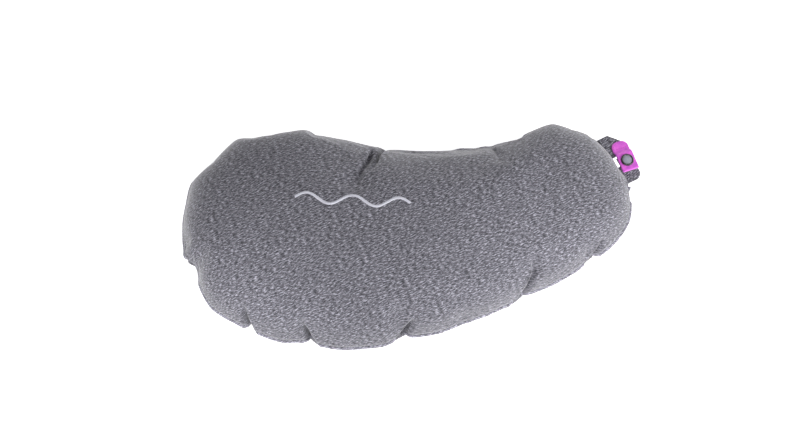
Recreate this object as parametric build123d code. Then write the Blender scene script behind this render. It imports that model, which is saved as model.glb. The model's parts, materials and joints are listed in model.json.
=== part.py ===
"""Inflatable bean-shaped wobble cushion with a snap-open hanging loop and a push-in air valve.

Frame: +X runs along the cushion from the large lobe to the small lobe, +Y points to the
concave rear edge and +Z points up. The origin is on the underside, at the middle of the
cushion's length and depth. Millimetres.

Two airtight films, each bonded under a jersey panel, are welded along a narrow flange at
the seam. The air space between them is sealed. The bean's outline is four tangent arcs:
a large lobe, a small lobe, a convex front arc and a concave rear arc.
"""
from build123d import *
import math
import os

os.makedirs("parts", exist_ok=True)

# ---------------------------------------------------------------- cushion, driving sizes
LARGE_LOBE = Vector(-115.0, 10.5)   # centre of the large lobe
SMALL_LOBE = Vector(150.0, 10.5)    # centre of the small lobe
LARGE_LOBE_R = 107.0
SMALL_LOBE_R = 73.0
FRONT_ARC_R = 348.0
REAR_ARC_R = 303.0
SEAM_Z = 44.0                       # height of the welded seam above the floor
UPPER_EDGE_R = 50.0                 # roll of the upper panel's edge
LOWER_EDGE_R = 42.0                 # roll of the lower panel's edge
SEAM_WALL = 2.0                     # straight wall between the seam and each roll
JERSEY_T = 1.2
BOND_GAP = 0.3                      # adhesive between jersey and film
FILM_T = 0.4
FLANGE_W = 3.5
FLANGE_JERSEY_T = 1.0

UPPER_H = UPPER_EDGE_R + SEAM_WALL
TOP_Z = SEAM_Z + UPPER_H
FILM_INSET = JERSEY_T + BOND_GAP
FLANGE_TOP_Z = SEAM_Z + FILM_T + FLANGE_JERSEY_T

# ---------------------------------------------------------------- embroidered wave
WAVE_CENTRE = Vector(-49.0, 13.5)
WAVE_LENGTH = 112.0
WAVE_TURN = -11.0                   # degrees from +X
WAVE_AMPLITUDE = 5.0
WAVE_CYCLES = 2.5
WAVE_THREAD_W = 3.0
WAVE_THREAD_T = 0.8

# ---------------------------------------------------------------- hanging loop and snap
LOOP_ANGLE = 20.0                   # direction from the small lobe's centre to the loop
STRAP_T = 1.6
STRAP_INNER_N = 80.5                # strap edges, measured outwards from the lobe's centre
STRAP_OUTER_N = 94.0
STRAP_HIGH_T = 31.5                 # strap ends, measured along the seam
STRAP_LOW_T = -24.0
LOWER_LEG_T = -4.0                  # the loop's gap runs from here up to the upper tail
STRAP_CORNER_R = 8.0
TAIL_GAP = 2.0                      # the two tails end this far apart, under the tab
UPPER_TAIL_END_T = 7.0
FLANGE_TRIM_N = 74.3                # the flange is trimmed straight behind the loop
LOOP_HINGE_N = 75.4
TAIL_START_N = 75.8
BARTACK_T = 0.5
BARTACK_L = 1.4
BARTACK_W = 6.0

TAB_CENTRE_N = 86.25
TAB_SKEW = 8.4                      # degrees that the tab is turned clockwise from the strap
TAB_W = 17.5
TAB_T = 1.4
TAB_ROUND_END_T = 20.4
TAB_SQUARE_END_T = -14.1
TAB_CORNER_R = 6.5
TAB_HINGE_T = 10.5
TAB_HINGE_GAP = 0.4                 # from the fold line to either part of the tab
TAB_HINGE_LIFT = 0.15               # fold line above the sewn end's top face
TAB_CLEARANCE = 0.3                 # free part of the tab above the strap at its root
TAB_RAMP_END_T = 5.5
STITCH_L = 1.9
STITCH_PITCH = 2.4
STITCH_W = 0.5
STITCH_H = 0.35

SNAP_T = -3.0                       # snap centre along the seam
SNAP_CAP_R = 6.5
SNAP_CAP_T = 1.8
SNAP_STUD_BASE_R = 5.0
SNAP_STUD_BASE_T = 0.8
SNAP_STUD_HEAD_R = 2.2
SNAP_STUD_HEAD_T = 1.0
SNAP_STUD_NECK_R = 1.7
SNAP_STUD_H = 3.0
SNAP_SOCKET_R = 5.2
SNAP_SOCKET_H = 2.8
SNAP_SOCKET_WALL = 0.6
SNAP_SOCKET_MOUTH_R = 3.0
SNAP_SOCKET_GROOVE_R = 3.7
SNAP_SPRING_R = 3.05
SNAP_SPRING_WIRE_R = 0.45
SNAP_SHANK_R = 1.6
SNAP_POST_R = 1.0
SNAP_POST_FLANGE_T = 0.8
ASSEMBLY_GAP = 0.1                  # between a hole and the fixed piece inside it

# ---------------------------------------------------------------- air valve
VALVE_TILT = 30.0                   # degrees below the horizon that the valve faces
VALVE_FLANGE_R = 15.0
VALVE_FLANGE_T = 0.8
VALVE_NECK_R = 8.6
VALVE_BORE_R = 7.1
VALVE_NECK_DEPTH = 9.0
VALVE_LIP_R = 11.0
VALVE_LIP_T = 1.6
SEAL_T = 0.8
INSERT_R = 7.05
INSERT_RIM_R = 9.5
INSERT_RIM_T = 1.2
INSERT_DEPTH = 7.5
MOUTH_R = 4.0
MOUTH_DEPTH = 5.5
SPOKE_W = 1.4
SPOKE_T = 1.0
HUB_R = 1.6
BEAD_T = 0.8
STEM_R = 0.8
DIAPHRAGM_R = 5.6
DIAPHRAGM_T = 0.6
CHECK_VALVE_TRAVEL = 1.2
CAP_R = 8.5
CAP_T = 1.4
CAP_PLUG_R = 3.9
CAP_PLUG_TIP_R = 3.5
CAP_PLUG_DEPTH = 2.6
CAP_GAP = 0.2
CAP_TONGUE_W = 6.0
CAP_LIFT_LIP_W = 5.0
CAP_HINGE_OFFSET = 11.0


# ================================================================ bean outline
def point_from_lobes(to_large, to_small):
    """The point behind the lobes that is these distances from the two lobe centres."""
    spacing = SMALL_LOBE.X - LARGE_LOBE.X
    x = (to_large**2 - to_small**2 + spacing**2) / (2 * spacing)
    return Vector(LARGE_LOBE.X + x, LARGE_LOBE.Y + math.sqrt(to_large**2 - x**2))


FRONT_CENTRE = point_from_lobes(FRONT_ARC_R - LARGE_LOBE_R, FRONT_ARC_R - SMALL_LOBE_R)
REAR_CENTRE = point_from_lobes(REAR_ARC_R + LARGE_LOBE_R, REAR_ARC_R + SMALL_LOBE_R)


def bean_face(inset):
    """The bean's outline moved inwards by inset, at the height of the seam."""

    def at(centre, towards, radius):
        return centre + (towards - centre).normalized() * radius

    def side(centre, radius, start, end, bulge):
        middle = (start + end) * 0.5
        direction = (middle - centre).normalized() * bulge
        return ThreePointArc(start, centre + direction * radius, end)

    front_large = at(FRONT_CENTRE, LARGE_LOBE, FRONT_ARC_R - inset)
    front_small = at(FRONT_CENTRE, SMALL_LOBE, FRONT_ARC_R - inset)
    rear_large = at(REAR_CENTRE, LARGE_LOBE, REAR_ARC_R + inset)
    rear_small = at(REAR_CENTRE, SMALL_LOBE, REAR_ARC_R + inset)
    arcs = [
        side(FRONT_CENTRE, FRONT_ARC_R - inset, front_large, front_small, 1),
        side(SMALL_LOBE, SMALL_LOBE_R - inset, front_small, rear_small, 1),
        side(REAR_CENTRE, REAR_ARC_R + inset, rear_small, rear_large, 1),
        side(LARGE_LOBE, LARGE_LOBE_R - inset, rear_large, front_large, -1),
    ]
    return Pos(0, 0, SEAM_Z) * make_face(Wire(arcs))


def half_body(inset, edge_r, up):
    """One solid half of the cushion, above or below the seam, moved inwards by inset."""
    height = edge_r + SEAM_WALL - inset
    block = extrude(bean_face(inset), amount=height if up else -height)
    rim = block.edges().group_by(Axis.Z)[-1 if up else 0]
    return fillet(rim, edge_r - inset)


def slab(face, low, high):
    """The face's outline as a plate between two heights."""
    flat = Pos(0, 0, low - SEAM_Z) * face
    return extrude(flat, amount=high - low)


def ring(outer_inset, inner_inset, low, high):
    return slab(bean_face(outer_inset), low, high) - slab(bean_face(inner_inset), low, high)


# ================================================================ local frames
def lobe_frame():
    """Frame at the small lobe's centre: X outwards to the loop, Y along the seam, Z up."""
    outwards = Vector(1, 0, 0).rotate(Axis.Z, LOOP_ANGLE)
    return Plane(origin=SMALL_LOBE, x_dir=outwards, z_dir=(0, 0, 1))


def valve_frame():
    """Frame on the lower panel's rear roll: Z out along the valve, Y up towards the seam."""
    tilt = math.radians(VALVE_TILT)
    out = Vector(0, math.cos(tilt), -math.sin(tilt))
    roll_centre_y = REAR_CENTRE.Y - REAR_ARC_R - LOWER_EDGE_R
    roll_centre = Vector(REAR_CENTRE.X, roll_centre_y, SEAM_Z - SEAM_WALL)
    return Plane(origin=roll_centre + out * LOWER_EDGE_R, x_dir=(-1, 0, 0), z_dir=out)


LOBE = lobe_frame()
VALVE = valve_frame()


def lobe_plate(outline, low, thickness):
    """A flat plate from an outline of (outwards, along the seam) points."""
    face = make_face(Polyline(*outline, close=True))
    return LOBE.location * (Pos(0, 0, low) * extrude(face, amount=thickness))


def disc(plane, radius, low, high, at=(0.0, 0.0)):
    """A round solid along a frame's Z, between two heights in that frame."""
    height = high - low
    middle = Pos(at[0], at[1], (low + high) / 2)
    return plane.location * (middle * Cylinder(radius, height))


def box_between(plane, low, high):
    size = [high[i] - low[i] for i in range(3)]
    middle = [(high[i] + low[i]) / 2 for i in range(3)]
    return plane.location * (Pos(*middle) * Box(*size))


# ================================================================ cushion shells
def trim_behind_loop(shape):
    """Cuts the flange back along a straight line, so that the loop has an open gap."""
    beyond = box_between(
        LOBE,
        (FLANGE_TRIM_N, STRAP_LOW_T - 2, SEAM_Z - 5),
        (STRAP_OUTER_N, STRAP_HIGH_T + 2, SEAM_Z + 5),
    )
    return shape - beyond


def cover(edge_r, up):
    """A jersey panel: a shell over one film, with its half of the flange."""
    shell = half_body(0, edge_r, up) - half_body(JERSEY_T, edge_r, up)
    sign = 1 if up else -1
    under = sorted([SEAM_Z, SEAM_Z + sign * FILM_T])
    shell -= slab(bean_face(-FLANGE_W), *under)
    flange_z = sorted([SEAM_Z + sign * FILM_T, SEAM_Z + sign * (FILM_T + FLANGE_JERSEY_T)])
    flange = ring(-FLANGE_W, JERSEY_T, *flange_z)
    return shell + trim_behind_loop(flange)


def film(edge_r, up):
    """An airtight film: a shell under one jersey panel, with its half of the weld."""
    shell = half_body(FILM_INSET, edge_r, up) - half_body(FILM_INSET + FILM_T, edge_r, up)
    sign = 1 if up else -1
    weld_z = sorted([SEAM_Z, SEAM_Z + sign * FILM_T])
    weld = ring(-FLANGE_W, FILM_INSET + FILM_T, *weld_z)
    return shell + trim_behind_loop(weld)


def embroidered_wave():
    """A raised satin-stitched wave that lies on the crown."""
    def wave_point(share):
        along = (share - 0.5) * WAVE_LENGTH
        return Vector(along, WAVE_AMPLITUDE * math.sin(2 * math.pi * WAVE_CYCLES * share))

    points_per_cycle = 8
    count = int(points_per_cycle * WAVE_CYCLES)
    centre_line = Spline(*[wave_point(i / count) for i in range(count + 1)])
    ribbon = trace(centre_line, WAVE_THREAD_W)
    place = Pos(WAVE_CENTRE.X, WAVE_CENTRE.Y, TOP_Z) * Rot(0, 0, WAVE_TURN)
    return place * extrude(ribbon, amount=WAVE_THREAD_T)


# ================================================================ hanging loop
STRAP_Z = FLANGE_TOP_Z
STRAP_TOP_Z = STRAP_Z + STRAP_T
LOWER_TAIL_END_T = UPPER_TAIL_END_T - TAIL_GAP
SNAP_AT = (TAB_CENTRE_N, SNAP_T)
# Heights of the snap's stack, from the strap up
STUD_BASE_Z = STRAP_TOP_Z
SOCKET_Z = STUD_BASE_Z + SNAP_STUD_BASE_T + TAB_CLEARANCE
TAB_Z = SOCKET_Z + SNAP_SOCKET_H
CAP_Z = TAB_Z + TAB_T
POST_TOP_Z = STUD_BASE_Z + SNAP_STUD_H - 0.8


def tab_frame():
    """The loop's frame turned about the snap, as the tab is set askew on the strap."""
    snap = LOBE.from_local_coords(Vector(TAB_CENTRE_N, SNAP_T, 0))
    outwards = LOBE.x_dir.rotate(Axis.Z, -TAB_SKEW)
    along = LOBE.y_dir.rotate(Axis.Z, -TAB_SKEW)
    origin = snap - outwards * TAB_CENTRE_N - along * SNAP_T
    return Plane(origin=origin, x_dir=outwards, z_dir=(0, 0, 1))


TAB = tab_frame()


def strap_upper_tail():
    """The tail that carries the tab, mitred at its outer corner."""
    mitre_n = STRAP_OUTER_N - 10
    mitre_t = STRAP_HIGH_T - 11.5
    outline = [
        (TAIL_START_N, STRAP_HIGH_T),
        (mitre_n, STRAP_HIGH_T),
        (STRAP_OUTER_N, mitre_t),
        (STRAP_OUTER_N, UPPER_TAIL_END_T),
        (TAIL_START_N, UPPER_TAIL_END_T),
    ]
    return lobe_plate(outline, STRAP_Z, STRAP_T)


def strap_lower_tail():
    """The tail that carries the snap's stud, rounded at its outer corner."""
    outline = [
        (TAIL_START_N, STRAP_LOW_T),
        (STRAP_OUTER_N, STRAP_LOW_T),
        (STRAP_OUTER_N, LOWER_TAIL_END_T),
        (STRAP_INNER_N, LOWER_TAIL_END_T),
        (STRAP_INNER_N, LOWER_LEG_T),
        (TAIL_START_N, LOWER_LEG_T),
    ]
    plate = lobe_plate(outline, STRAP_Z, STRAP_T)
    corner = LOBE.from_local_coords(Vector(STRAP_OUTER_N, STRAP_LOW_T, STRAP_Z))
    plate = fillet(plate.edges().filter_by(Axis.Z).sort_by_distance(corner)[0], STRAP_CORNER_R)
    post_hole = disc(LOBE, SNAP_POST_R + ASSEMBLY_GAP, STRAP_Z - 1, STRAP_TOP_Z + 1, SNAP_AT)
    return plate - post_hole


def strap_sewn_ends():
    """The ends of the strap that lie on the flange and don't move."""
    wall = disc(LOBE, SMALL_LOBE_R + BOND_GAP, STRAP_Z - 1, STRAP_TOP_Z + 1)
    inner_n = 60.0
    ends = []
    for low_t, high_t in ((UPPER_TAIL_END_T, STRAP_HIGH_T), (STRAP_LOW_T, LOWER_LEG_T)):
        low = (inner_n, low_t, STRAP_Z)
        high = (FLANGE_TRIM_N, high_t, STRAP_TOP_Z)
        ends += (box_between(LOBE, low, high) - wall).solids()
    return Compound(ends)


def strap_bartacks():
    """A dense bar of thread across each sewn end."""
    margin = 1.5
    outer_n = FLANGE_TRIM_N - 0.6
    bars = []
    for start_t in (STRAP_HIGH_T - margin - BARTACK_W, STRAP_LOW_T + margin):
        low = (outer_n - BARTACK_L, start_t, STRAP_TOP_Z)
        high = (outer_n, start_t + BARTACK_W, STRAP_TOP_Z + BARTACK_T)
        bars.append(box_between(LOBE, low, high))
    return Compound(bars)


# ================================================================ snap tab
def tab_sewn_end():
    """The rounded end of the tab, stitched down on the upper tail."""
    start_t = TAB_HINGE_T + TAB_HINGE_GAP
    length = TAB_ROUND_END_T - start_t
    plan = Rectangle(TAB_W, length)
    body = extrude(plan, amount=TAB_T)
    body = Pos(TAB_CENTRE_N, start_t + length / 2, STRAP_TOP_Z) * body
    corners = body.edges().filter_by(Axis.Z).group_by(Axis.Y)[-1]
    return TAB.location * fillet(corners, TAB_CORNER_R)


def snap_tab():
    """The free part of the tab: it ramps up from its root to the top of the snap."""
    root_t = TAB_HINGE_T - TAB_HINGE_GAP
    root_z = STRAP_TOP_Z + TAB_CLEARANCE
    profile = [
        (root_t, root_z),
        (root_t, root_z + TAB_T),
        (TAB_RAMP_END_T, TAB_Z + TAB_T),
        (TAB_SQUARE_END_T, TAB_Z + TAB_T),
        (TAB_SQUARE_END_T, TAB_Z),
        (TAB_RAMP_END_T, TAB_Z),
    ]
    side = Plane(origin=(TAB_CENTRE_N - TAB_W / 2, 0, 0), x_dir=(0, 1, 0), z_dir=(1, 0, 0))
    face = side.location * make_face(Polyline(*profile, close=True))
    body = TAB.location * extrude(face, amount=TAB_W)
    shank_hole = disc(LOBE, SNAP_SHANK_R + ASSEMBLY_GAP, TAB_Z - 1, CAP_Z + 1, SNAP_AT)
    return body - shank_hole


def tab_stitching():
    """Two rows of thread that hold the tab's rounded end down on the strap."""
    top = STRAP_TOP_Z + TAB_T
    stitches = []
    for row_t, count in ((13.0, 6), (17.5, 4)):
        for i in range(count):
            n = TAB_CENTRE_N + (i - (count - 1) / 2) * STITCH_PITCH
            low = (n - STITCH_L / 2, row_t - STITCH_W / 2, top)
            high = (n + STITCH_L / 2, row_t + STITCH_W / 2, top + STITCH_H)
            stitches.append(box_between(TAB, low, high))
    return Compound(stitches)


# ================================================================ snap fastener
def snap_cap():
    """The domed cap, with the shank that holds the tab to the socket."""
    dome = Cylinder(SNAP_CAP_R, SNAP_CAP_T)
    dome = fillet(dome.edges().group_by(Axis.Z)[-1], SNAP_CAP_T * 0.7)
    dome = LOBE.location * (Pos(*SNAP_AT, CAP_Z + SNAP_CAP_T / 2) * dome)
    return dome + disc(LOBE, SNAP_SHANK_R, TAB_Z - SNAP_SOCKET_WALL, CAP_Z, SNAP_AT)


def snap_socket():
    """The socket under the tab, with a groove for its spring."""
    top = SOCKET_Z + SNAP_SOCKET_H
    groove_low = SOCKET_Z + SNAP_SOCKET_WALL
    groove_high = top - SNAP_SOCKET_WALL
    body = disc(LOBE, SNAP_SOCKET_R, SOCKET_Z, top, SNAP_AT)
    body -= disc(LOBE, SNAP_SOCKET_MOUTH_R, SOCKET_Z, groove_low, SNAP_AT)
    body -= disc(LOBE, SNAP_SOCKET_GROOVE_R, groove_low, groove_high, SNAP_AT)
    return body - disc(LOBE, SNAP_SHANK_R + ASSEMBLY_GAP, SOCKET_Z, top, SNAP_AT)


def snap_spring():
    """The split wire ring that grips the stud's head."""
    wire_z = SOCKET_Z + SNAP_SOCKET_WALL + SNAP_SPRING_WIRE_R + 0.2
    wire = Pos(*SNAP_AT, wire_z) * Torus(SNAP_SPRING_R, SNAP_SPRING_WIRE_R)
    split_w = 1.6
    split = Pos(SNAP_AT[0] + SNAP_SPRING_R, SNAP_AT[1], wire_z) * Box(2, split_w, 2)
    return LOBE.location * (wire - split)


def snap_stud():
    """The stud on the lower tail, with a bulged head that the spring closes under."""
    base = disc(LOBE, SNAP_STUD_BASE_R, STUD_BASE_Z, STUD_BASE_Z + SNAP_STUD_BASE_T, SNAP_AT)
    neck = disc(LOBE, SNAP_STUD_NECK_R, STUD_BASE_Z, STUD_BASE_Z + SNAP_STUD_H, SNAP_AT)
    head_z = STUD_BASE_Z + SNAP_STUD_H
    head = Cylinder(SNAP_STUD_HEAD_R, SNAP_STUD_HEAD_T)
    head = fillet(head.edges().filter_by(GeomType.CIRCLE), SNAP_STUD_HEAD_T * 0.45)
    head = LOBE.location * (Pos(*SNAP_AT, head_z - SNAP_STUD_HEAD_T / 2) * head)
    hole_r = SNAP_POST_R + ASSEMBLY_GAP
    return base + neck + head - disc(LOBE, hole_r, STUD_BASE_Z, POST_TOP_Z + 0.2, SNAP_AT)


def snap_post():
    """The rivet from below that clamps the strap to the stud."""
    low = STRAP_Z - SNAP_POST_FLANGE_T
    flange = disc(LOBE, SNAP_STUD_BASE_R, low, STRAP_Z, SNAP_AT)
    return flange + disc(LOBE, SNAP_POST_R, low, POST_TOP_Z, SNAP_AT)


# ================================================================ air valve
INSERT_RIM_Z = VALVE_LIP_T + SEAL_T
INSERT_TOP_Z = INSERT_RIM_Z + INSERT_RIM_T
SEAT_Z = -MOUTH_DEPTH
HUB_TOP_Z = SEAT_Z + SPOKE_T


def valve_base():
    """The welded base: a flange under the film, a neck through it and an outer lip."""
    inside = FILM_INSET + FILM_T
    under_film = half_body(inside, LOWER_EDGE_R, False)
    deeper = half_body(inside + VALVE_FLANGE_T, LOWER_EDGE_R, False)
    flange = disc(VALVE, VALVE_FLANGE_R, -12, 2) & (under_film - deeper)
    lip = disc(VALVE, VALVE_LIP_R, -6, VALVE_LIP_T) - half_body(0, LOWER_EDGE_R, False)
    neck = disc(VALVE, VALVE_NECK_R, -VALVE_NECK_DEPTH, VALVE_LIP_T)
    return flange + neck + lip - disc(VALVE, VALVE_BORE_R, -12, 4)


def valve_seal():
    """The flat ring between the base's lip and the insert's rim."""
    outer = disc(VALVE, INSERT_RIM_R, VALVE_LIP_T, INSERT_RIM_Z)
    return outer - disc(VALVE, VALVE_BORE_R + 0.3, VALVE_LIP_T, INSERT_RIM_Z)


def valve_insert():
    """The push-in insert: a tube with a rim, and a spoked seat for the check valve."""
    tube = disc(VALVE, INSERT_R, -INSERT_DEPTH, INSERT_RIM_Z)
    rim = disc(VALVE, INSERT_RIM_R, INSERT_RIM_Z, INSERT_TOP_Z)
    body = tube + rim - disc(VALVE, MOUTH_R, SEAT_Z - 1, INSERT_TOP_Z)
    room = DIAPHRAGM_R + 0.4
    body -= disc(VALVE, room, -INSERT_DEPTH, SEAT_Z)
    body += disc(VALVE, HUB_R, SEAT_Z, HUB_TOP_Z)
    bar = Pos((HUB_R + MOUTH_R) / 2, 0, SEAT_Z + SPOKE_T / 2) * Box(MOUTH_R, SPOKE_W, SPOKE_T)
    for angle in (90, 210, 330):
        body += VALVE.location * (Rot(0, 0, angle) * bar)
    lug = box_between(
        VALVE,
        (-CAP_TONGUE_W / 2, INSERT_RIM_R - 1, INSERT_RIM_Z),
        (CAP_TONGUE_W / 2, CAP_HINGE_OFFSET - 0.2, INSERT_TOP_Z),
    )
    return body + lug - disc(VALVE, STEM_R + ASSEMBLY_GAP, SEAT_Z, HUB_TOP_Z)


def valve_diaphragm():
    """The soft disc that air pushes off its seat, with a stem and a retaining bead."""
    leaf = disc(VALVE, DIAPHRAGM_R, SEAT_Z - DIAPHRAGM_T, SEAT_Z)
    bead_z = HUB_TOP_Z + CHECK_VALVE_TRAVEL
    stem = disc(VALVE, STEM_R, SEAT_Z - DIAPHRAGM_T, bead_z)
    bead = disc(VALVE, HUB_R, bead_z, bead_z + BEAD_T)
    return leaf + stem + bead


def valve_cap():
    """The lid with its tapered plug and the tongue that it hinges on."""
    low = INSERT_TOP_Z + CAP_GAP
    lid = Cylinder(CAP_R, CAP_T)
    lid = fillet(lid.edges().group_by(Axis.Z)[-1], 0.5)
    lid = VALVE.location * (Pos(0, 0, low + CAP_T / 2) * lid)
    plug = Cone(CAP_PLUG_TIP_R, CAP_PLUG_R, CAP_PLUG_DEPTH)
    plug = VALVE.location * (Pos(0, 0, low - CAP_PLUG_DEPTH / 2) * plug)
    tongue = box_between(
        VALVE,
        (-CAP_TONGUE_W / 2, CAP_R - 1.5, low),
        (CAP_TONGUE_W / 2, CAP_HINGE_OFFSET + 0.6, low + CAP_T / 2),
    )
    lift_lip = box_between(
        VALVE,
        (-CAP_LIFT_LIP_W / 2, -CAP_R - 1.5, low + CAP_T * 0.3),
        (CAP_LIFT_LIP_W / 2, -CAP_R + 1.5, low + CAP_T),
    )
    return lid + plug + tongue + lift_lip


# ================================================================ write the sub-parts
def one_solid(shape):
    """The shape itself, as a single solid where a boolean wrapped it in a compound."""
    solids = shape.solids()
    return solids[0] if len(solids) == 1 else Compound(list(solids))


def main():
    valve_hole = disc(VALVE, VALVE_NECK_R + ASSEMBLY_GAP, -15, 6)
    parts = {
        "top_cover": cover(UPPER_EDGE_R, True),
        "bottom_cover": cover(LOWER_EDGE_R, False) - valve_hole,
        "top_film": film(UPPER_EDGE_R, True),
        "bottom_film": film(LOWER_EDGE_R, False) - valve_hole,
        "embroidered_wave": embroidered_wave(),
        "strap_sewn_ends": strap_sewn_ends(),
        "strap_bartacks": strap_bartacks(),
        "strap_upper_tail": strap_upper_tail(),
        "strap_lower_tail": strap_lower_tail(),
        "tab_sewn_end": tab_sewn_end(),
        "tab_stitching": tab_stitching(),
        "snap_tab": snap_tab(),
        "snap_cap": snap_cap(),
        "snap_socket": snap_socket(),
        "snap_spring": snap_spring(),
        "snap_stud": snap_stud(),
        "snap_post": snap_post(),
        "valve_base": valve_base(),
        "valve_seal": valve_seal(),
        "valve_insert": valve_insert(),
        "valve_diaphragm": valve_diaphragm(),
        "valve_cap": valve_cap(),
    }
    for name, shape in parts.items():
        export_step(one_solid(shape), f"parts/{name}.step")

main()
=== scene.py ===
"""Inflated bean-shaped wobble cushion in melange jersey, with its hanging loop, snap tab and valve.

Metres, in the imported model's frame: +X to the small lobe, +Y to the concave rear edge, +Z up.
The cushion's two panels are cut flat, then inflated with cloth simulation, so the welded edge
puckers as it does on a real air cushion.
"""

import json
import math

import bpy
import numpy as np
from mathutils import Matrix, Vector
from mathutils.bvhtree import BVHTree
from mathutils.geometry import delaunay_2d_cdt


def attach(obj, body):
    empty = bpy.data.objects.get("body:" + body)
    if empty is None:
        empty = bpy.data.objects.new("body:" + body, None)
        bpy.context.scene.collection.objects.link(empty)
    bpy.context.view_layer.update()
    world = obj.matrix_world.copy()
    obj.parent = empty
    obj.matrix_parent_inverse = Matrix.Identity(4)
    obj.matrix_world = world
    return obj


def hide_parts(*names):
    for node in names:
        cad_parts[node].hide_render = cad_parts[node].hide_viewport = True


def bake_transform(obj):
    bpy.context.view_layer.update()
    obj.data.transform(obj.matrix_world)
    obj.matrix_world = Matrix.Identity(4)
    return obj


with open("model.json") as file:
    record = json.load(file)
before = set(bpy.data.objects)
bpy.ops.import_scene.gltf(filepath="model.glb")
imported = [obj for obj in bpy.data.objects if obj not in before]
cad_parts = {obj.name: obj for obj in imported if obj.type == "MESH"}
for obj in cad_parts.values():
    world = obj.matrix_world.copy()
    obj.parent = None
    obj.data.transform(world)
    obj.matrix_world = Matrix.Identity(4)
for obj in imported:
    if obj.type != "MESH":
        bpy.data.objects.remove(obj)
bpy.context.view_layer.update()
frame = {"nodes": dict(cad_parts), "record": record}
MM = 0.001

# ---------------------------------------------------------------- bean outline, as in the model
LARGE = np.array((-115.0, 10.5)) * MM
SMALL = np.array((150.0, 10.5)) * MM
LARGE_R, SMALL_R = 107 * MM, 73 * MM
FRONT_R, REAR_R = 348 * MM, 303 * MM
SEAM_Z = 44 * MM
TOP_H = 52 * MM            # crown above the seam
ROLL = 46 * MM             # edge roll that the simulation starts from
WALL = 2 * MM
SEAM_SPACING = 2.8 * MM    # mesh size along the seam
FINE_BAND = 45 * MM        # width of the finely meshed edge of each panel

# The panels are cut larger than the inflated outline, by what their rolled edge takes up.
CUT_EXTRA = WALL + ROLL * math.pi / 2 - ROLL

# How far the welded edge stands out from the plain bean outline, in mm, at distances in mm
# along that outline, counter-clockwise from where the front edge leaves the large lobe.
EDGE_SWELL = [
    (20, 7), (32, 8), (48, 4.5), (60, 5), (85, 8), (108, 6.5), (128, 5), (146, -2.5),
    (160, 0.5), (185, 0.5), (205, -3), (240, -3), (268, -4), (285, -2.5), (300, 0.5),
    (335, 3.5), (350, 2.5), (362, 6.5), (385, 8), (408, 10.5), (425, 9), (440, 10), (455, 4),
    (485, 4.5), (500, 6.5), (517, 2.5), (536, 7.5), (553, 1.5), (570, -2), (605, 0),
    (628, 3), (650, 6), (680, 7), (710, 8), (726, 9), (760, 7), (780, 1.5), (793, -0.5),
    (803, 4), (820, -2), (840, -4.5), (860, -1.5), (873, 6), (890, 2), (908, -1),
    (938, 5), (955, 1), (985, -0.5), (1005, -1), (1016, 2), (1024, -7.5), (1036, -7),
    (1050, -1), (1072, 4), (1100, 3),
]

# The puckers: place on the outline; distances from the seam where each begins and ends;
# depth; slant in degrees to the left when looking inwards; steep side (+1 left, -1 right);
# and the share of the depth at its beginning. Lengths in mm.
PUCKERS = [
    ((-218.5, -17.0), 0, 30, 5.0, 55, -1, 0.9),
    ((-157.2, -86.8), 0, 38, 13.0, 22, -1, 0.75),
    ((-100.0, -107.5), 0, 33, 12.0, 23, -1, 0.75),
    ((-22.0, -117.8), 0, 36, 12.0, -27, 1, 0.7),
    ((99.5, -98.3), 0, 50, 13.0, -34, 1, 0.75),
    ((114.0, -93.0), 34, 62, 3.5, -14, 1, 0.0),
    ((173.5, -62.0), 0, 34, 12.0, -45, 1, 0.75),
    ((221.6, -3.0), 0, 28, 9.0, -40, 1, 0.8),
    ((203.0, 60.5), 0, 24, 3.0, 0, 1, 0.6),
    ((105.0, 76.6), 14, 62, 4.0, -6, 1, 0.0),
    ((-3.6, 83.0), 4, 72, 12.0, -12, 1, 0.3),
    ((-17.8, 86.8), 30, 96, 9.0, -8, -1, 0.0),
]


def unit(v):
    return v / np.linalg.norm(v)


def behind(to_large, to_small):
    """The point behind the lobes at these distances from their centres."""
    spacing = SMALL[0] - LARGE[0]
    x = (to_large**2 - to_small**2 + spacing**2) / (2 * spacing)
    return np.array((LARGE[0] + x, LARGE[1] + math.sqrt(to_large**2 - x**2)))


FRONT = behind(FRONT_R - LARGE_R, FRONT_R - SMALL_R)
REAR = behind(REAR_R + LARGE_R, REAR_R + SMALL_R)


def bean_arcs():
    """The outline's four arcs, counter-clockwise: centre, radius, first angle, turn, bulge."""

    def angle(centre, towards):
        return math.atan2(*(towards - centre)[::-1])

    def arc(centre, radius, first, last, bulge):
        turn = bulge * ((bulge * (last - first)) % (2 * math.pi))
        return centre, radius, first, turn, bulge

    return [
        arc(FRONT, FRONT_R, angle(FRONT, LARGE), angle(FRONT, SMALL), 1),
        arc(SMALL, SMALL_R, angle(FRONT, SMALL), angle(SMALL, REAR), 1),
        arc(REAR, REAR_R, angle(REAR, SMALL), angle(REAR, LARGE), -1),
        arc(LARGE, LARGE_R, angle(LARGE, REAR), angle(FRONT, LARGE), 1),
    ]


ARCS = bean_arcs()


def outline(inset, count, phase=0.0):
    """Points at even spacing around the outline moved inwards by inset."""
    lengths = [abs(turn) * (radius - bulge * inset) for _, radius, _, turn, bulge in ARCS]
    total = sum(lengths)
    at = (np.arange(count) + phase) % count * total / count
    points = np.zeros((count, 2))
    start = 0.0
    for (centre, radius, first, turn, bulge), length in zip(ARCS, lengths):
        inside = (at >= start) & (at < start + length)
        angles = first + turn * (at[inside] - start) / length
        ray = np.column_stack((np.cos(angles), np.sin(angles)))
        points[inside] = centre + ray * (radius - bulge * inset)
        start += length
    return points


def outline_length(inset=0.0):
    return sum(abs(turn) * (radius - bulge * inset) for _, radius, _, turn, bulge in ARCS)


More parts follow.
